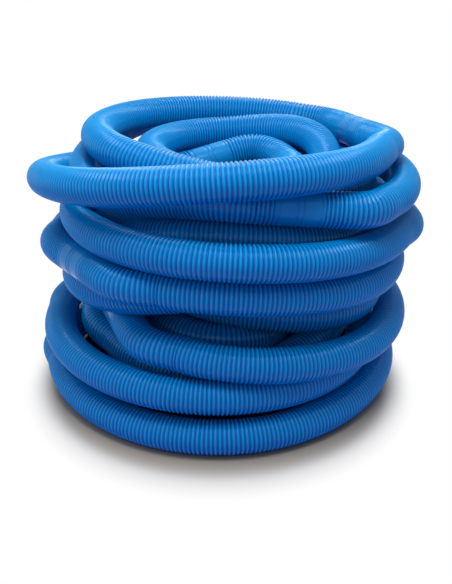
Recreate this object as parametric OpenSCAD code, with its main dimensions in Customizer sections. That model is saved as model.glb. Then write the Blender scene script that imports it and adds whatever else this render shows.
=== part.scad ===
// Sectional vacuum hose, 38 mm bore, heaped up in a loose coil.
// Sixteen ribbed sections are joined by smooth moulded cuffs, where the hose may be cut.

/* [Hose] */
// Diameter of the clear bore
bore_d = 38; // [34:0.5:38]
// Thickness of the hose from the bore to the crest of a rib
hose_wall = 3.75; // [2.75:0.25:3.75]
// Distance from one rib to the next
rib_pitch = 5.2; // [4:0.1:6]
// Depth of the valley between two ribs
rib_depth = 2; // [1:0.25:2.5]
// Ribs on the straight run beside each cuff of the wide turns
end_ribs = 4; // [1:1:4]
// Length from the middle of one cuff to the middle of the next
section_length = 1200; // [1190:1:1205]

/* [Cuffs] */
// Length of a whole cuff from face to face
cuff_length = 61; // [50:1:66]
// Thickness of the smooth cuff from the bore outwards
cuff_wall = 3.5; // [2.5:0.25:3.75]
// Width of the cutting bead in the middle of a cuff
bead_width = 5; // [3:0.5:8]
// Width of each groove in a cuff
groove_width = 1.6; // [1:0.2:2.4]
// Depth of each groove in a cuff
groove_depth = 0.9; // [0.4:0.1:1.4]
// Distance from a face of the cuff to the groove near it
end_groove = 5; // [3:0.5:8]
// Rounding of the outer edges of a cuff
edge_round = 1; // [0.4:0.2:1.6]

/* [Coil] */
// Length of hose between the start of the route and the outer end
lead_in = 73; // [65:1:78]
// Straight run beside a cuff on the wide turns
wide_run = 20; // [20:1:24]
// Straight run beside a cuff on the tight inner turns
tight_run = 2; // [2:1:4]
// Length over which a straight run bends back into a wide turn
wide_blend = 90; // [80:5:100]
// Length over which a straight run bends back into a tight turn
tight_blend = 110; // [100:5:120]
// Distance between two rings of the wound tube
ring_step = 49; // [48:1:60]
// Depth of the flat on which the lowest turns rest
foot_flat = 0.5; // [0.3:0.1:0.8]

/* [Hidden] */

// Sections of hose, and the first cuff that lies in the tight inner turns
sections = 16;
first_tight = 14;

// Diameters over the ribs and over the cuffs
hose_od = bore_d + 2 * hose_wall;
cuff_od = bore_d + 2 * cuff_wall;

// Axis height of a turn that rests on the ground
lo = hose_od / 2 - foot_flat;

// The heap, one row for each turn from the ground up and then down into the middle.
// A row has six stations, at 90, 30, 330, 270, 210 and 150 degrees, running clockwise from above.
// Each station is [distance out from the heap's axis, height of the hose's axis].
turns = [
    [[322, lo], [253, lo], [237, lo], [244, lo], [237, lo], [235, lo]],
    [[200, lo], [150, 35], [102, 76], [159, 115], [110, 102], [130, 55]],
    [[184, 70], [210, 64], [213, 64], [235, 76], [236, 79], [236, 78]],
    [[246, 93], [250, 99], [246, 101], [230, 123], [165, 131], [138, 131]],
    [[152, 106], [170, 92], [175, 97], [184, 72], [172, 80], [191, 111]],
    [[235, 141], [207, 136], [209, 140], [150, 160], [106, 163], [104, 168]],
    [[198, 174], [184, 184], [191, 196], [182, 195], [204, 166], [201, 163]],
    [[253, 186], [236, 184], [240, 189], [228, 212], [221, 213], [225, 206]],
    [[265, 236], [247, 284], [246, 293], [181, 312], [181, 296], [206, 304]],
    [[320, 300], [276, 230], [246, 236], [239, 260], [204, 256], [188, 246]],
    [[138, 265], [181, 281], [188, 300], [128, 319], [153, 343], [178, 341]],
    [[210, 330], [220, 325], [217, 342], [230, 350], [234, 314], [240, 266]],
    [[200, 249], [209, 241], [199, 243], [180, 266], [158, 243], [143, 223]],
    [[134, 212], [148, 232], [149, 228], [134, 210], [112, 219], [94, 214]],
    [[85, 190], [95, 182], [93, 198], [78, 238], [78, 267], [74, 271]],
    [[84, 290], [103, 291], [96, 300], [85, 307], [84, 313], [108, 314]],
    [[148, 311], [153, 322], [140, 283], [121, 262], [125, 291], [140, 315]]
];
first_angle = 90;
station_angle = 60;
stations = [for (turn = turns) each turn];
last_station = len(stations) - 1;
steps = 12;

// Sides of the wound tube, and how far each way its direction is measured
tube_sides = 6;
direction_step = 1;
// Points that round off one rib, and how square its crest is
rib_points = 8;
rib_square = 0.6;
// Two stretches of hose nearer than this along the hose are not compared for their gap
near_along = 4 * hose_od;
// Size of the block that cuts the foot flat
ground_size = 1000;

crest_r = hose_od / 2;
valley_r = crest_r - rib_depth;
mean_r = (crest_r + valley_r) / 2;
bore_r = bore_d / 2;
cuff_r = cuff_od / 2;
half_cuff = cuff_length / 2;

// Catmull-Rom curve through b and c, at the share t of the way from b to c
function curve(a, b, c, d, t) =
    b + 0.5 * t * (c - a + t * (2 * a - 5 * b + 4 * c - d + t * (3 * (b - c) + d - a)));

function station(i) = stations[max(0, min(last_station, i))];

function route_point(i, t) =
    let (
        flat = curve(station(i - 1), station(i), station(i + 1), station(i + 2), t),
        angle = first_angle - station_angle * (i + t)
    )
    [flat[0] * cos(angle), flat[0] * sin(angle), flat[1]];

route = [for (i = [0:last_station - 1], j = [0:steps - 1]) route_point(i, j / steps)];

// Length of hose from the outer end to each point of the route
reach = [
    for (
        i = 0, sum = -lead_in;
        i < len(route);
        sum = sum + (i + 1 < len(route) ? norm(route[i + 1] - route[i]) : 0), i = i + 1
    ) sum
];
route_x = [for (i = [0:len(route) - 1]) [reach[i], route[i][0]]];
route_y = [for (i = [0:len(route) - 1]) [reach[i], route[i][1]]];
route_z = [for (i = [0:len(route) - 1]) [reach[i], route[i][2]]];

function bent(s) = [lookup(s, route_x), lookup(s, route_y), lookup(s, route_z)];

// A cuff is straight, so near it the hose leaves its turn for a straight line
function is_tight(k) = k >= first_tight;
function run(k) = half_cuff + (is_tight(k) ? tight_run : wide_run);
function blend(k) = is_tight(k) ? tight_blend : wide_blend;
function ribs_at(k) = is_tight(k) ? 0 : end_ribs;

function unit(v) = v / norm(v);

lines = [
    for (k = [0:sections])
        let (
            s = k * section_length,
            before = bent(s - run(k)),
            after = bent(s + run(k))
        )
        [(before + after) / 4 + bent(s) / 2, unit(after - before)]
];

function line_point(k) = lines[k][0];
function line_direction(k) = lines[k][1];

function smooth(x) = let (y = max(0, min(1, x))) y * y * (3 - 2 * y);

// The axis of the hose, at the length s from its outer end, with the heap's own axis at the middle
function heap_point(s) =
    let (
        k = max(0, min(sections, round(s / section_length))),
        d = s - k * section_length,
        share = 1 - smooth((abs(d) - run(k)) / blend(k))
    )
    bent(s) * (1 - share) + (line_point(k) + line_direction(k) * d) * share;

// The origin is at the middle of the heap's footprint
rings = [for (k = [1:sections]) each ring_lengths(k)];
heap = [for (s = rings) heap_point(s)];
heap_x = [for (p = heap) p[0]];
heap_y = [for (p = heap) p[1]];
footprint_middle = [(min(heap_x) + max(heap_x)) / 2, (min(heap_y) + max(heap_y)) / 2, 0];

function axis_point(s) = heap_point(s) - footprint_middle;

function axis_direction(s) = unit(axis_point(s + direction_step) - axis_point(s - direction_step));

// Lengths at which the wound tube of section k starts and ends
function tube_start(k) = (k - 1) * section_length + half_cuff + ribs_at(k - 1) * rib_pitch;
function tube_end(k) = k * section_length - half_cuff - ribs_at(k) * rib_pitch;
function ring_count(k) = round((tube_end(k) - tube_start(k)) / ring_step);
function ring_lengths(k) =
    let (n = ring_count(k))
    [for (i = [0:n]) tube_start(k) + (tube_end(k) - tube_start(k)) * i / n];

// The lower corners of a ring that rests on the ground lie flat on it
function rested(p, axis_height) =
    let (share = p[2] < axis_height - 1 ? max(0, min(1, 1 - (axis_height - lo) / 3)) : 0)
    [p[0], p[1], p[2] * (1 - share)];

// One ring of corners round the axis, square to it
function ring(s, r, rests) =
    let (
        middle = axis_point(s),
        forward = axis_direction(s),
        side = unit(cross(forward, [0, 0, 1])),
        up = cross(side, forward)
    )
    [
        for (j = [0:tube_sides - 1])
            let (
                angle = 360 * j / tube_sides,
                corner = middle + r * (cos(angle) * side + sin(angle) * up)
            )
            rests ? rested(corner, middle[2]) : corner
    ];

// The wound tube of section k with its bore, as triangles
module wound_tube(k) {
    at = ring_lengths(k);
    n = len(at);
    m = tube_sides;
    outer = [for (s = at) each ring(s, mean_r, true)];
    inner = [for (s = at) each ring(s, bore_r, false)];
    offset = n * m;
    walls = [
        for (i = [0:n - 2], j = [0:m - 1])
            let (a = i * m + j, b = i * m + (j + 1) % m, c = a + m, d = b + m)
            each [
                [a, c, b], [b, c, d],
                [offset + a, offset + b, offset + c], [offset + b, offset + d, offset + c]
            ]
    ];
    ends = [
        for (j = [0:m - 1])
            let (a = j, b = (j + 1) % m, c = (n - 1) * m + j, d = (n - 1) * m + (j + 1) % m)
            each [
                [a, b, offset + a], [b, offset + b, offset + a],
                [c, offset + c, d], [d, offset + c, offset + d]
            ]
    ];
    polyhedron(points = concat(outer, inner), faces = concat(walls, ends), convexity = 10);
}

// Turns a shape that stands along +Z so that it lies along the hose at the length s
module on_hose(s, forward) {
    heading = atan2(forward[1], forward[0]);
    tilt = acos(forward[2]);
    translate(axis_point(s)) rotate([0, tilt, heading]) children();
}

// Everything below the ground is cut away
module rest_flat(rests) {
    if (rests) {
        difference() {
            children();
            translate([-ground_size / 2, -ground_size / 2, -hose_od]) cube([ground_size, ground_size, hose_od]);
        }
    } else {
        children();
    }
}

function rests_at(s) = axis_point(s)[2] < crest_r;

// Outline of one rib and its valley, from 0 to 1 along its pitch
function rib_height(u) = rib_depth * pow(sin(180 * u), rib_square);

module hose_section(k) {
    color("royalblue") wound_tube(k);
}

// Outline of the outside of half a cuff, from its middle at 0 to its face at half_cuff
function half_outline() =
    let (
        bead = bead_width / 2,
        slope = groove_depth / 2,
        far = half_cuff - end_groove,
        low = cuff_r - groove_depth
    )
    [
        [cuff_r, 0],
        [cuff_r, bead - slope],
        [low, bead],
        [low, bead + groove_width],
        [cuff_r, bead + groove_width + slope],
        [cuff_r, far - groove_width - slope],
        [low, far - groove_width],
        [low, far],
        [cuff_r, far + slope],
        [cuff_r, half_cuff - edge_round],
        [cuff_r - edge_round * (1 - cos(45)), half_cuff - edge_round * (1 - sin(45))],
        [cuff_r - edge_round, half_cuff]
    ];

// Outline of the straight ribbed run beside a cuff, from the cuff's face outwards
function rib_outline(n) = [
    for (i = [0:1:n - 1], j = [0:rib_points])
        if (j > 0 || i == 0)
            [valley_r + rib_height(j / rib_points), half_cuff + (i + j / rib_points) * rib_pitch]
];

// Half a cuff with n ribs past its face, standing on the cuff's middle
module half_cuff_solid(n) {
    top = half_cuff + n * rib_pitch;
    rotate_extrude($fn = 64)
        polygon(concat([[bore_r, 0]], half_outline(), rib_outline(n), [[bore_r, top]]));
}

// The whole moulded cuff with its first ribs each way.
// The two ends of the hose have only the half that is left after the cut.
module cuff(k) {
    forward = line_direction(k);
    s = k * section_length;
    color("slateblue")
        rest_flat(rests_at(s)) {
            if (k < sections) on_hose(s, forward) half_cuff_solid(ribs_at(k));
            if (k > 0) on_hose(s, -forward) half_cuff_solid(ribs_at(k));
        }
}

// Distance from the point p to the straight piece from a to b
function to_piece(p, a, b) =
    let (along = b - a, t = max(0, min(1, (p - a) * along / (along * along))))
    norm(p - a - t * along);

// Least gap between the faceted tube's own turns, measured on its rings
function least_gap() =
    let (
        gaps = [
            for (i = [0:len(rings) - 1], j = [0:len(rings) - 2])
                if (min(abs(rings[i] - rings[j]), abs(rings[i] - rings[j + 1])) > near_along)
                    if (norm(heap[i] - heap[j]) < 3 * hose_od) to_piece(heap[i], heap[j], heap[j + 1])
        ]
    )
    min(gaps) - 2 * mean_r;

echo(least_gap_to_itself_mm = least_gap());

function two_digits(k) = str(k < 10 ? "0" : "", k);
for (k = [0:sections])
    cuff(k);
for (k = [1:sections])
    hose_section(k);
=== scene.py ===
# %% [markdown]
# # A heap of pool vacuum hose
#
# A pool vacuum hose is one long corrugated tube of blow-moulded polyethylene. Every 1.2 m the
# mould leaves a smooth cuff in place of the ribs, where the hose can be cut and pushed onto a
# fitting. Here 19.2 m of it lies in a loose round heap, much as somebody drops it after use.
#
# The lesson builds the hose's true ribs as meshes that follow one long route, gives the blue
# plastic its finish, and lights it softly on a pale floor.

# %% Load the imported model
import math

import bpy
import numpy as np
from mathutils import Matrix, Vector


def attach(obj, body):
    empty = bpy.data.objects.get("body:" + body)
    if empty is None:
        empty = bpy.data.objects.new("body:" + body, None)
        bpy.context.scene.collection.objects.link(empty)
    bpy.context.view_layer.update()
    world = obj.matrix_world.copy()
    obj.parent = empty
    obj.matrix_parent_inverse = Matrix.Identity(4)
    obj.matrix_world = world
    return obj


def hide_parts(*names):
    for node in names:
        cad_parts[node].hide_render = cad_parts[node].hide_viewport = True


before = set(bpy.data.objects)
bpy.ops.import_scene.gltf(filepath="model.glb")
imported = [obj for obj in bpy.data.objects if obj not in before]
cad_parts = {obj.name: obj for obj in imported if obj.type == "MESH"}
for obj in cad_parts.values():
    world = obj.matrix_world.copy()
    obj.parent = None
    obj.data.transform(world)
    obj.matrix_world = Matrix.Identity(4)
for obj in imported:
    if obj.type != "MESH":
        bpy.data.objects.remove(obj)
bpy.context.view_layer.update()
print("nodes in the frame:", len(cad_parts))

# %% [markdown]
# ## Sizes
#
# The hose's sizes are the real ones, in metres. The bore is the 38 mm that pool fittings
# share, and the ribs stand 2 mm over the valleys between them, about five to the inch.

# %% Sizes of the hose
MM = 0.001
BORE_D = 38 * MM
HOSE_WALL = 3.75 * MM
HOSE_OD = BORE_D + 2 * HOSE_WALL
RIB_PITCH = 5.2 * MM
RIB_DEPTH = 2 * MM
END_RIBS = 4
SECTIONS = 16
SECTION_LENGTH = 1200 * MM
FOOT_FLAT = 0.5 * MM
CREST_R = HOSE_OD / 2
VALLEY_R = CREST_R - RIB_DEPTH
BORE_R = BORE_D / 2
print("hose length in metres:", SECTIONS * SECTION_LENGTH)

# %% Sizes of a cuff
CUFF_LENGTH = 61 * MM
CUFF_WALL = 3.5 * MM
CUFF_R = BORE_R + CUFF_WALL
BEAD_WIDTH = 5 * MM
GROOVE_WIDTH = 1.6 * MM
GROOVE_DEPTH = 0.9 * MM
END_GROOVE = 5 * MM
EDGE_ROUND = 1 * MM
HALF_CUFF = CUFF_LENGTH / 2

# %% [markdown]
# ## The route
#
# The heap is a chain of turns. Each row below is one turn, clockwise from above, with six
# stations 60 degrees apart. A station says how far out from the heap's axis the hose lies and
# how high. A smooth curve through the stations is the hose's own axis. Points listed
# like this are easy to move when one turn has to slip a little under another.

# %% Stations of the turns, in millimetres, from the ground up and then into the middle
LOW = (HOSE_OD / 2 - FOOT_FLAT) / MM
TURNS = [
    [[322, LOW], [253, LOW], [237, LOW], [244, LOW], [237, LOW], [235, LOW]],
    [[200, LOW], [150, 35], [102, 76], [159, 115], [110, 102], [130, 55]],
    [[184, 70], [210, 64], [213, 64], [235, 76], [236, 79], [236, 78]],
    [[246, 93], [250, 99], [246, 101], [230, 123], [165, 131], [138, 131]],
    [[152, 106], [170, 92], [175, 97], [184, 72], [172, 80], [191, 111]],
    [[235, 141], [207, 136], [209, 140], [150, 160], [106, 163], [104, 168]],
    [[198, 174], [184, 184], [191, 196], [182, 195], [204, 166], [201, 163]],
    [[253, 186], [236, 184], [240, 189], [228, 212], [221, 213], [225, 206]],
    [[265, 236], [247, 284], [246, 293], [181, 312], [181, 296], [206, 304]],
    [[320, 300], [276, 230], [246, 236], [239, 260], [204, 256], [188, 246]],
    [[138, 265], [181, 281], [188, 300], [128, 319], [153, 343], [178, 341]],
    [[210, 330], [220, 325], [217, 342], [230, 350], [234, 314], [240, 266]],
    [[200, 249], [209, 241], [199, 243], [180, 266], [158, 243], [143, 223]],
    [[134, 212], [148, 232], [149, 228], [134, 210], [112, 219], [94, 214]],
    [[85, 190], [95, 182], [93, 198], [78, 238], [78, 267], [74, 271]],
    [[84, 290], [103, 291], [96, 300], [85, 307], [84, 313], [108, 314]],
    [[148, 311], [153, 322], [140, 283], [121, 262], [125, 291], [140, 315]],
]
STATIONS = np.array(TURNS, float).reshape(-1, 2) * MM
LAST_STATION = len(STATIONS) - 1
FIRST_ANGLE = 90
STATION_ANGLE = 60
print("turns:", len(TURNS), "stations:", len(STATIONS))

# %% [markdown]
# A Catmull-Rom curve passes through every station and leaves each one in the direction of the
# line between its two neighbours, so the hose bends smoothly without any handles to set.


# %% The smooth curve through the stations
def station(i):
    return STATIONS[np.clip(i, 0, LAST_STATION)]


def turn_point(place):
    """Point of the heap at a place along the stations, such as 3.25."""
    place = np.asarray(place, float)
    i = np.clip(np.floor(place).astype(int), 0, LAST_STATION - 1)
    t = (place - i)[..., None]
    a, b, c, d = (station(i + k) for k in (-1, 0, 1, 2))
    flat = b + 0.5 * t * (c - a + t * (2 * a - 5 * b + 4 * c - d + t * (3 * (b - c) + d - a)))
    angle = np.radians(FIRST_ANGLE - STATION_ANGLE * place)
    return np.stack([flat[..., 0] * np.cos(angle), flat[..., 0] * np.sin(angle), flat[..., 1]], -1)


# %% Length along the curve
STEPS = 12
LEAD_IN = 73 * MM
places = np.arange(LAST_STATION * STEPS) / STEPS
steps = np.linalg.norm(np.diff(turn_point(places), axis=0), axis=1)
reach = np.concatenate([[0], np.cumsum(steps)]) - LEAD_IN


def bent(s):
    """Point of the bending route at the length s from the hose's outer end."""
    return turn_point(np.interp(s, reach, places))


print("length of the route in metres:", round(float(reach[-1]), 3))

# %% [markdown]
# A cuff has no ribs, so it can't bend. Near each one the route leaves its turn for a straight
# line through the cuff, and returns to the turn over the next 90 mm or so.

# %% Straight lines through the cuffs
WIDE_RUN, TIGHT_RUN = 20 * MM, 2 * MM
WIDE_BLEND, TIGHT_BLEND = 90 * MM, 110 * MM
FIRST_TIGHT = 14
cuff_numbers = np.arange(SECTIONS + 1)
is_tight = cuff_numbers >= FIRST_TIGHT
run = HALF_CUFF + np.where(is_tight, TIGHT_RUN, WIDE_RUN)
blend = np.where(is_tight, TIGHT_BLEND, WIDE_BLEND)
end_ribs = np.where(is_tight, 0, END_RIBS)

before = bent(cuff_numbers * SECTION_LENGTH - run)
after = bent(cuff_numbers * SECTION_LENGTH + run)
line_points = (before + after) / 4 + bent(cuff_numbers * SECTION_LENGTH) / 2
line_directions = after - before
line_directions /= np.linalg.norm(line_directions, axis=1)[:, None]


def heap_point(s):
    """Point of the hose's axis at the length s, measured from the heap's own axis."""
    s = np.asarray(s, float)
    k = np.clip(np.round(s / SECTION_LENGTH).astype(int), 0, SECTIONS)
    d = s - k * SECTION_LENGTH
    away = np.clip((np.abs(d) - run[k]) / blend[k], 0, 1)
    share = (1 - away * away * (3 - 2 * away))[..., None]
    straight = line_points[k] + line_directions[k] * d[..., None]
    return bent(s) * (1 - share) + straight * share


# %% Origin at the middle of the heap's footprint
RING_STEP = 49 * MM


def stretch_ends(k):
    """Lengths at which the ribbed stretch k starts and ends."""
    start = (k - 1) * SECTION_LENGTH + HALF_CUFF + end_ribs[k - 1] * RIB_PITCH
    end = k * SECTION_LENGTH - HALF_CUFF - end_ribs[k] * RIB_PITCH
    return start, end


def coarse_lengths(k):
    start, end = stretch_ends(k)
    return np.linspace(start, end, round((end - start) / RING_STEP) + 1)


coarse = heap_point(np.concatenate([coarse_lengths(k) for k in range(1, SECTIONS + 1)]))
footprint_middle = (coarse.min(axis=0) + coarse.max(axis=0)) / 2 * [1, 1, 0]


def axis_point(s):
    return heap_point(s) - footprint_middle


print("heap's own axis from the origin, in metres:", (-footprint_middle).round(4))

# %% [markdown]
# ## The camera
#
# The camera looks down on the heap by 26 degrees, from a little over a metre away, so that both
# the stacked sides and the turns on top show. From that near, the front of the heap bulges
# towards the viewer.

# %% Camera
CAMERA_SIDE = 0.0092
CAMERA_AWAY = 1.035
CAMERA_HEIGHT = 0.611
CAMERA_DOWN = math.radians(26)
LENS_MM = 47.5
NEAREST_SEEN = 0.05

camera_data = bpy.data.cameras.new("camera")
camera_data.lens = LENS_MM
camera_data.clip_start = NEAREST_SEEN
camera = bpy.data.objects.new("camera", camera_data)
camera.location = np.array([CAMERA_SIDE, -CAMERA_AWAY, CAMERA_HEIGHT]) - footprint_middle
camera.rotation_euler = (math.pi / 2 - CAMERA_DOWN, 0, 0)
bpy.context.scene.collection.objects.link(camera)
bpy.context.scene.camera = camera
print("camera at, in metres:", np.array(camera.location).round(3))

# %% [markdown]
# ## Rings round the axis
#
# A hose, a cuff and a rib are all made the same way: rings of points round the axis, each square
# to it, joined by faces. Only the radius along the length differs. The rings run out along the
# outside and come back along the bore, so every piece is a closed wall of real thickness.


# %% Rings of points, square to the axis
def rings(s, radius, sides):
    """One ring of points for each length s, with the radius that goes with it."""
    forward = axis_point(s + MM) - axis_point(s - MM)
    forward /= np.linalg.norm(forward, axis=1)[:, None]
    side = np.cross(forward, [0, 0, 1])
    side /= np.linalg.norm(side, axis=1)[:, None]
    up = np.cross(side, forward)
    angle = np.arange(sides) * 2 * np.pi / sides
    across = np.cos(angle)[:, None] * side[:, None, :] + np.sin(angle)[:, None] * up[:, None, :]
    points = axis_point(s)[:, None, :] + radius[:, None, None] * across
    # What rests on the ground is pressed flat there
    points[..., 2] = np.maximum(points[..., 2], 0)
    return points


# %% A closed wall from rings that go out and come back
def wall(name, lengths, radii, sides):
    """A closed tube whose rings go out along the outside and come back along the bore."""
    points = rings(lengths, radii, sides).reshape(-1, 3)
    a = np.arange(len(points)).reshape(-1, sides)
    b = np.roll(a, -1, axis=1)
    c, d = np.roll(a, -1, axis=0), np.roll(b, -1, axis=0)
    faces = np.stack([a, c, d, b], -1).reshape(-1, 4)

    mesh = bpy.data.meshes.new(name)
    mesh.from_pydata(points.tolist(), [], faces.tolist())
    mesh.polygons.foreach_set("use_smooth", np.ones(len(faces), bool))
    # The rib's height later blends the painted shade of the valleys with the painted light of the
    # crests
    height = np.clip((radii - VALLEY_R) / RIB_DEPTH, 0, 1)
    mesh.attributes.new("rib_height", "FLOAT", "POINT")
    mesh.attributes["rib_height"].data.foreach_set("value", np.repeat(height, sides))

    piece = bpy.data.objects.new(name, mesh)
    bpy.context.scene.collection.objects.link(piece)
    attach(piece, "root")
    return piece


# %% [markdown]
# ## The ribs
#
# A rib stands up as a round crest, and the valleys between ribs are about as wide as the ribs.
# Half a sine wave, squeezed a little by a power, has that outline. One rib could be repeated and
# bent along a curve by modifiers, but rings set straight on the route keep every rib square to
# it. Seven rings for each rib are enough once the faces are shaded smooth.

# %% Outline of one rib
RIB_SHARES = np.array([0, 0.14, 0.3, 0.44, 0.56, 0.7, 0.86])
RIB_POWER = 1.6


def rib_radius(share):
    return VALLEY_R + RIB_DEPTH * np.sin(np.pi * share) ** RIB_POWER


def ribbed(start, end):
    """Lengths and radii of the whole ribs that fill the stretch from start to end."""
    count = max(1, round(abs(end - start) / RIB_PITCH))
    pitch = (end - start) / count
    shares = np.tile(RIB_SHARES, count)
    numbers = np.repeat(np.arange(count), len(RIB_SHARES))
    lengths = np.append(start + (numbers + shares) * pitch, end)
    return lengths, np.append(rib_radius(shares), VALLEY_R)


# %% Ribbed stretches
HOSE_SIDES = 32
BORE_STEP = 12 * MM


def with_bore(lengths, radii):
    """The outside's rings, followed by the bore's, which come back to the start."""
    count = max(2, round((lengths[-1] - lengths[0]) / BORE_STEP))
    back = np.linspace(lengths[-1], lengths[0], count)
    return np.concatenate([lengths, back]), np.concatenate([radii, np.full(count, BORE_R)])


def ribbed_stretch(k):
    lengths, radii = with_bore(*ribbed(*stretch_ends(k)))
    piece = wall(f"ribbed_stretch_{k:02d}", lengths, radii, HOSE_SIDES)
    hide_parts(f"hose_section_{k:02d}")
    return piece


stretches = {k: ribbed_stretch(k) for k in range(1, SECTIONS + 1)}
print("faces of one stretch:", len(stretches[1].data.polygons))

# %% [markdown]
# ## The cuffs
#
# A cuff is about as wide as the ribs' crests. Two grooves at its middle mark where it is cut
# to shorten the hose, with a narrow bead between them, and one more groove runs near each end.
# The outline is a few straight pieces, and a short moving average rounds every corner as a
# mould does.

# %% Outline of half a cuff, from its middle to its face
FINE_STEP = 0.4 * MM
ROUNDING = [0.25, 0.5, 0.25]


def half_outline():
    bead = BEAD_WIDTH / 2
    slope = GROOVE_DEPTH / 2
    far = HALF_CUFF - END_GROOVE
    low = CUFF_R - GROOVE_DEPTH
    corners = [
        [0, CUFF_R],
        [bead - slope, CUFF_R],
        [bead, low],
        [bead + GROOVE_WIDTH, low],
        [bead + GROOVE_WIDTH + slope, CUFF_R],
        [far - GROOVE_WIDTH - slope, CUFF_R],
        [far - GROOVE_WIDTH, low],
        [far, low],
        [far + slope, CUFF_R],
        [HALF_CUFF - EDGE_ROUND, CUFF_R],
        [HALF_CUFF, VALLEY_R],
    ]
    along, radius = np.array(corners).T
    fine = np.linspace(0, HALF_CUFF, round(HALF_CUFF / FINE_STEP) + 1)
    exact = np.interp(fine, along, radius)
    soft = np.convolve(np.pad(exact, 1, mode="edge"), ROUNDING, mode="valid")
    return fine, soft


# %% A cuff with its first ribs each way
CUFF_SIDES = 64


def half_of_cuff(k):
    """Distances from the cuff's middle and radii, out to the last of its own ribs."""
    along, radius = half_outline()
    if end_ribs[k]:
        far, crest = ribbed(HALF_CUFF, HALF_CUFF + end_ribs[k] * RIB_PITCH)
        along, radius = np.append(along, far[1:]), np.append(radius, crest[1:])
    return along, radius


def moulded_cuff(k):
    """A whole cuff, or the half that a cut leaves at each end of the hose."""
    along, radius = half_of_cuff(k)
    lengths, radii = along, radius
    if k > 0:
        lengths = np.concatenate([-along[:0:-1], along])
        radii = np.concatenate([radius[:0:-1], radius])
    if k == SECTIONS:
        lengths, radii = -along[::-1], radius[::-1]
    lengths, radii = with_bore(lengths + k * SECTION_LENGTH, radii)
    piece = wall(f"moulded_cuff_{k:02d}", lengths, radii, CUFF_SIDES)
    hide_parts(f"cuff_{k:02d}")
    return piece


cuffs = {k: moulded_cuff(k) for k in range(SECTIONS + 1)}
print("cuffs:", len(cuffs), "faces of one:", len(cuffs[5].data.polygons))

# %% [markdown]
# Each ribbed stretch leaves one cuff and ends in the next.


# %% [markdown]
# ## The blue plastic
#
# The hose is blow-moulded polyethylene with a blue pigment all through it. The mould leaves its
# skin satin, so it shows soft pale lines along the crests and no sharp mirror images. Light goes
# a short way into the plastic and comes out again. The crests look lighter than the valleys, and
# even the valleys stay a clear blue and don't go black. Scattering inside the wall could be traced
# for this, but here it is painted: a blend of two blues by the rib's height gives painted light
# on the crests and painted shade in the valleys.

# %% Colours and a small helper for nodes
# The valley and crest blues are painted shade and painted light; the cuff's blue is its own colour
VALLEY_PAINTED_SHADE_BLUE = "0055a2"
CREST_PAINTED_LIGHT_BLUE = "0696d4"
CUFF_BLUE = "0882c2"
SHEEN_BLUE = "acd4f6"


def linear(hex_colour):
    """An sRGB hex colour as the linear values that a shader takes."""
    channels = [int(hex_colour[i : i + 2], 16) / 255 for i in (0, 2, 4)]
    return [c / 12.92 if c <= 0.04045 else ((c + 0.055) / 1.055) ** 2.4 for c in channels] + [1]


def add_node(tree, kind, inputs=None, **settings):
    node = tree.nodes.new(kind)
    for name, value in settings.items():
        setattr(node, name, value)
    for socket, source in (inputs or {}).items():
        if isinstance(source, bpy.types.NodeSocket):
            tree.links.new(source, node.inputs[socket])
        else:
            node.inputs[socket].default_value = source
    return node


def new_material(name):
    material = bpy.data.materials.new(name)
    material.use_nodes = True
    material.node_tree.nodes.clear()
    return material, material.node_tree


# %% Blow-moulded polyethylene
# The pigment drifts a little, in patches about as wide as the hose
MOTTLE = 45 * MM
MOTTLE_SHADES = (0.94, 1.06)
# The real skin's ripple is finer than this, and wouldn't show
PEEL = 1.2 * MM
PEEL_HEIGHT = 0.05 * MM
PEEL_STRENGTH = 0.05
SATIN = 0.24
SATIN_LESS, SATIN_MORE = SATIN - 0.04, SATIN + 0.06
POLYETHYLENE_IOR = 1.5
GLOSS_LEVEL = 0.32


def polyethylene(name, valley, crest):
    material, tree = new_material(name)
    place = add_node(tree, "ShaderNodeTexCoord").outputs["Object"]
    height = add_node(tree, "ShaderNodeAttribute", attribute_name="rib_height").outputs["Fac"]
    mottle = add_node(
        tree, "ShaderNodeTexNoise", {"Vector": place, "Scale": 1 / MOTTLE, "Detail": 3.0}
    ).outputs["Fac"]
    peel = add_node(
        tree, "ShaderNodeTexNoise", {"Vector": place, "Scale": 1 / PEEL, "Detail": 2.0}
    ).outputs["Fac"]
    # Two blues by the rib's height: painted shade in the valleys, painted light on the crests
    pigment_and_painted_rib_shade = add_node(
        tree,
        "ShaderNodeMix",
        {0: height, 6: linear(valley), 7: linear(crest)},
        data_type="RGBA",
    ).outputs[2]
    shade = add_node(
        tree,
        "ShaderNodeMapRange",
        {"Value": mottle, "To Min": MOTTLE_SHADES[0], "To Max": MOTTLE_SHADES[1]},
    ).outputs["Result"]
    varied = add_node(
        tree, "ShaderNodeHueSaturation", {"Color": pigment_and_painted_rib_shade, "Value": shade}
    ).outputs["Color"]
    gloss = add_node(
        tree,
        "ShaderNodeMapRange",
        {"Value": mottle, "To Min": SATIN_LESS, "To Max": SATIN_MORE},
    ).outputs["Result"]
    bump = add_node(
        tree,
        "ShaderNodeBump",
        {"Height": peel, "Strength": PEEL_STRENGTH, "Distance": PEEL_HEIGHT},
    ).outputs["Normal"]
    surface = add_node(
        tree,
        "ShaderNodeBsdfPrincipled",
        {
            "Base Color": varied,
            "Roughness": gloss,
            "IOR": POLYETHYLENE_IOR,
            "Specular IOR Level": GLOSS_LEVEL,
            "Specular Tint": linear(SHEEN_BLUE),
            "Normal": bump,
        },
    ).outputs["BSDF"]
    add_node(tree, "ShaderNodeOutputMaterial", {"Surface": surface})
    return material


hose_plastic = polyethylene("blow_moulded_polyethylene", VALLEY_PAINTED_SHADE_BLUE, CREST_PAINTED_LIGHT_BLUE)
cuff_plastic = polyethylene("smooth_cuff_polyethylene", CUFF_BLUE, CUFF_BLUE)
print("plastics:", hose_plastic.name, cuff_plastic.name)

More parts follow.
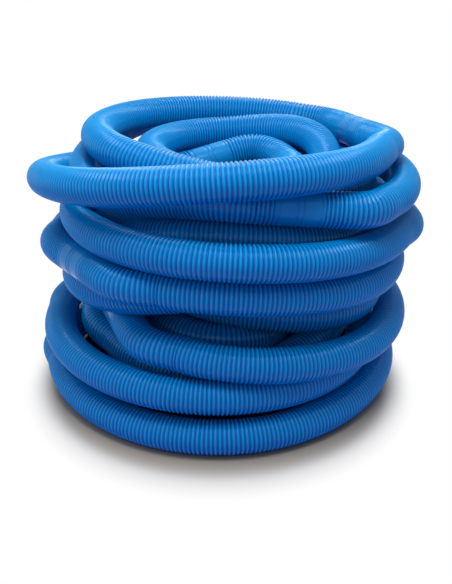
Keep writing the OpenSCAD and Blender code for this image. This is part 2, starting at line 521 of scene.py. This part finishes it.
# %% [markdown]
# The ribs that belong to a cuff take the hose's plastic and the smooth part takes its own, so
# the colour doesn't change where one piece ends and the next begins.

# %% Put the plastic on the pieces
for stretch in stretches.values():
    stretch.data.materials.append(hose_plastic)


def face_distances(k, piece):
    """How far each face of a cuff's piece lies from the cuff's middle, along the hose."""
    centres = np.empty(len(piece.data.polygons) * 3)
    piece.data.polygons.foreach_get("center", centres)
    centre = line_points[k] - footprint_middle
    return np.abs((centres.reshape(-1, 3) - centre) @ line_directions[k])


faces_on_ribs = 0
for k, cuff in cuffs.items():
    cuff.data.materials.append(cuff_plastic)
    cuff.data.materials.append(hose_plastic)
    on_ribs = face_distances(k, cuff) > HALF_CUFF
    cuff.data.polygons.foreach_set("material_index", on_ribs.astype(np.int32))
    faces_on_ribs += int(on_ribs.sum())
print("faces on the cuffs' own ribs:", faces_on_ribs)

# %% [markdown]
# ## Floor and light
#
# The heap lies on a sheet of matt white paper, which keeps the colours clean. Further out the
# paper turns into plain white, so it has no edge.

# %% Pale floor, in metres
FLOOR_SIZE = 12

floor_mesh = bpy.data.meshes.new("floor")
half_floor = FLOOR_SIZE / 2
corners = [(-half_floor, -half_floor, 0), (half_floor, -half_floor, 0)]
corners += [(half_floor, half_floor, 0), (-half_floor, half_floor, 0)]
floor_mesh.from_pydata(corners, [], [(0, 1, 2, 3)])
floor = bpy.data.objects.new("floor", floor_mesh)
bpy.context.scene.collection.objects.link(floor)
print("floor width in metres:", FLOOR_SIZE)

# %% [markdown]
# The heap blocks most of the light from the paper round its foot, and all of it inside. The
# lamps give the wide part of that shadow. The last, closest part is painted shadow: darker grey
# rings painted into the paper's colour, which reach a little further towards the front than to
# the sides, and a painted navy shade inside the heap.

# %% Painted shadow in the paper's colour round the foot of the heap
FRONT_FORWARD = 56 * MM
FOOT_FORWARD = 14 * MM
FRONT_SHADOW = (205 * MM, 260 * MM)
FOOT_SHADOW = (245 * MM, 292 * MM)
INNER_SHADOW = (224 * MM, 252 * MM)
FADE_TO_WHITE = (232 * MM, 286 * MM)
# The greys and the navy are painted shadow and painted shade on the paper
PAPER_WHITE, PAINTED_FRONT_SHADOW_GREY, PAINTED_FOOT_SHADOW_GREY, PAINTED_INNER_SHADE_NAVY = "fff4e6", "c8bcac", "a89a88", "04102c"

paper, paper_tree = new_material("white_paper")
floor_place = add_node(paper_tree, "ShaderNodeTexCoord").outputs["Object"]


def distance_from(centre):
    away = add_node(
        paper_tree, "ShaderNodeVectorMath", {0: floor_place, 1: centre}, operation="DISTANCE"
    )
    return away.outputs["Value"]


def fade_out(distance, ends):
    """1 out to the first of the two distances, easing to 0 at the second."""
    return add_node(
        paper_tree,
        "ShaderNodeMapRange",
        {
            "Value": distance,
            "From Min": ends[0],
            "From Max": ends[1],
            "To Min": 1.0,
            "To Max": 0.0,
        },
        interpolation_type="SMOOTHSTEP",
    ).outputs["Result"]


def paper_mix(share, first, second):
    return add_node(
        paper_tree, "ShaderNodeMix", {0: share, 6: first, 7: second}, data_type="RGBA"
    ).outputs[2]


from_foot = distance_from(tuple(-footprint_middle - [0, FOOT_FORWARD, 0]))
from_front = distance_from(tuple(-footprint_middle - [0, FRONT_FORWARD, 0]))
# Painted shadow: grey rings round the foot and a navy shade inside the heap, in the paper's colour
paper_and_painted_shadow = paper_mix(
    fade_out(from_front, FRONT_SHADOW), linear(PAPER_WHITE), linear(PAINTED_FRONT_SHADOW_GREY)
)
paper_and_painted_shadow = paper_mix(fade_out(from_foot, FOOT_SHADOW), paper_and_painted_shadow, linear(PAINTED_FOOT_SHADOW_GREY))
inside = fade_out(from_foot, INNER_SHADOW)
paper_and_painted_shadow = paper_mix(inside, paper_and_painted_shadow, linear(PAINTED_INNER_SHADE_NAVY))

# %% [markdown]
# Far from the heap the paper is plain white. Only the camera and the plastic's gloss see white
# paper at all. For the light that it scatters back up it is a mid blue, as if the hose had
# tinted it, so the low turns keep their deep colour.

# %% Matt paper near the heap, plain white far from it, and blue in the light it throws back
BOUNCE_BLUE = "8cb0e8"


def shows_white(tree):
    """1 for the rays that meet the white surroundings: the eye's and mirrored ones."""
    rays = add_node(tree, "ShaderNodeLightPath").outputs
    mirrored = add_node(
        tree,
        "ShaderNodeMath",
        {0: rays["Is Glossy Ray"], 1: rays["Is Transmission Ray"]},
        operation="MAXIMUM",
    ).outputs[0]
    return add_node(
        tree, "ShaderNodeMath", {0: rays["Is Camera Ray"], 1: mirrored}, operation="MAXIMUM"
    ).outputs[0]


seen = shows_white(paper_tree)
paper_and_painted_shadow = paper_mix(seen, linear(BOUNCE_BLUE), paper_and_painted_shadow)
matt = add_node(paper_tree, "ShaderNodeBsdfDiffuse", {"Color": paper_and_painted_shadow}).outputs["BSDF"]
white = add_node(paper_tree, "ShaderNodeEmission", {"Strength": 1.0}).outputs["Emission"]
near = add_node(
    paper_tree,
    "ShaderNodeMath",
    {0: fade_out(from_front, FADE_TO_WHITE), 1: inside},
    operation="MAXIMUM",
).outputs[0]
far = add_node(paper_tree, "ShaderNodeMath", {0: 1.0, 1: near}, operation="SUBTRACT").outputs[0]
share = add_node(paper_tree, "ShaderNodeMath", {0: far, 1: seen}, operation="MULTIPLY").outputs[0]
paper_surface = add_node(
    paper_tree, "ShaderNodeMixShader", {0: share, 1: matt, 2: white}
).outputs["Shader"]
add_node(paper_tree, "ShaderNodeOutputMaterial", {"Surface": paper_surface})
floor_mesh.materials.append(paper)
print("nodes of the paper:", len(paper_tree.nodes))

# %% [markdown]
# The camera and the gloss meet a plain white world too, and everything else gets a weak pale
# blue fill from it. Three soft lamps do the rest. One above the front draws a pale line along
# the top of every turn, one behind lights the turns on top, and a weaker one lifts the left
# side. They stay at a plain level, so a colour renders about as it is written.

# %% World
world = bpy.data.worlds.new("studio")
bpy.context.scene.world = world
world.use_nodes = True
sky = world.node_tree
sky.nodes.clear()
FILL_BLUE = "d0e4ff"
FILL_STRENGTH = 0.48
fill = add_node(
    sky, "ShaderNodeBackground", {"Color": linear(FILL_BLUE), "Strength": FILL_STRENGTH}
).outputs[0]
backdrop = add_node(
    sky, "ShaderNodeBackground", {"Color": linear("ffffff"), "Strength": 1.0}
).outputs[0]
mixed = add_node(sky, "ShaderNodeMixShader", {0: shows_white(sky), 1: fill, 2: backdrop})
add_node(sky, "ShaderNodeOutputWorld", {"Surface": mixed.outputs[0]})


# %% Lamps, with places and sizes in metres
def soft_lamp(name, place, target, width, length, watts):
    data = bpy.data.lights.new(name, "AREA")
    data.shape = "RECTANGLE"
    data.size = width
    data.size_y = length
    data.energy = watts
    lamp = bpy.data.objects.new(name, data)
    lamp.location = place
    lamp.rotation_euler = (Vector(target) - Vector(place)).to_track_quat("-Z", "Y").to_euler()
    bpy.context.scene.collection.objects.link(lamp)
    print(name, "watts:", watts)


soft_lamp(
    "overhead_lamp", (0, -0.41, 0.98), target=(0, 0, 0.22), width=0.3, length=0.4, watts=4.75
)
soft_lamp(
    "side_lamp", (-1.1, -0.45, 0.5), target=(-0.15, 0, 0.15), width=0.5, length=0.8, watts=2.2
)
soft_lamp("back_lamp", (0.2, 0.8, 1.3), target=(0, 0, 0.3), width=0.4, length=0.8, watts=10)

bpy.context.scene.view_settings.view_transform = "Standard"
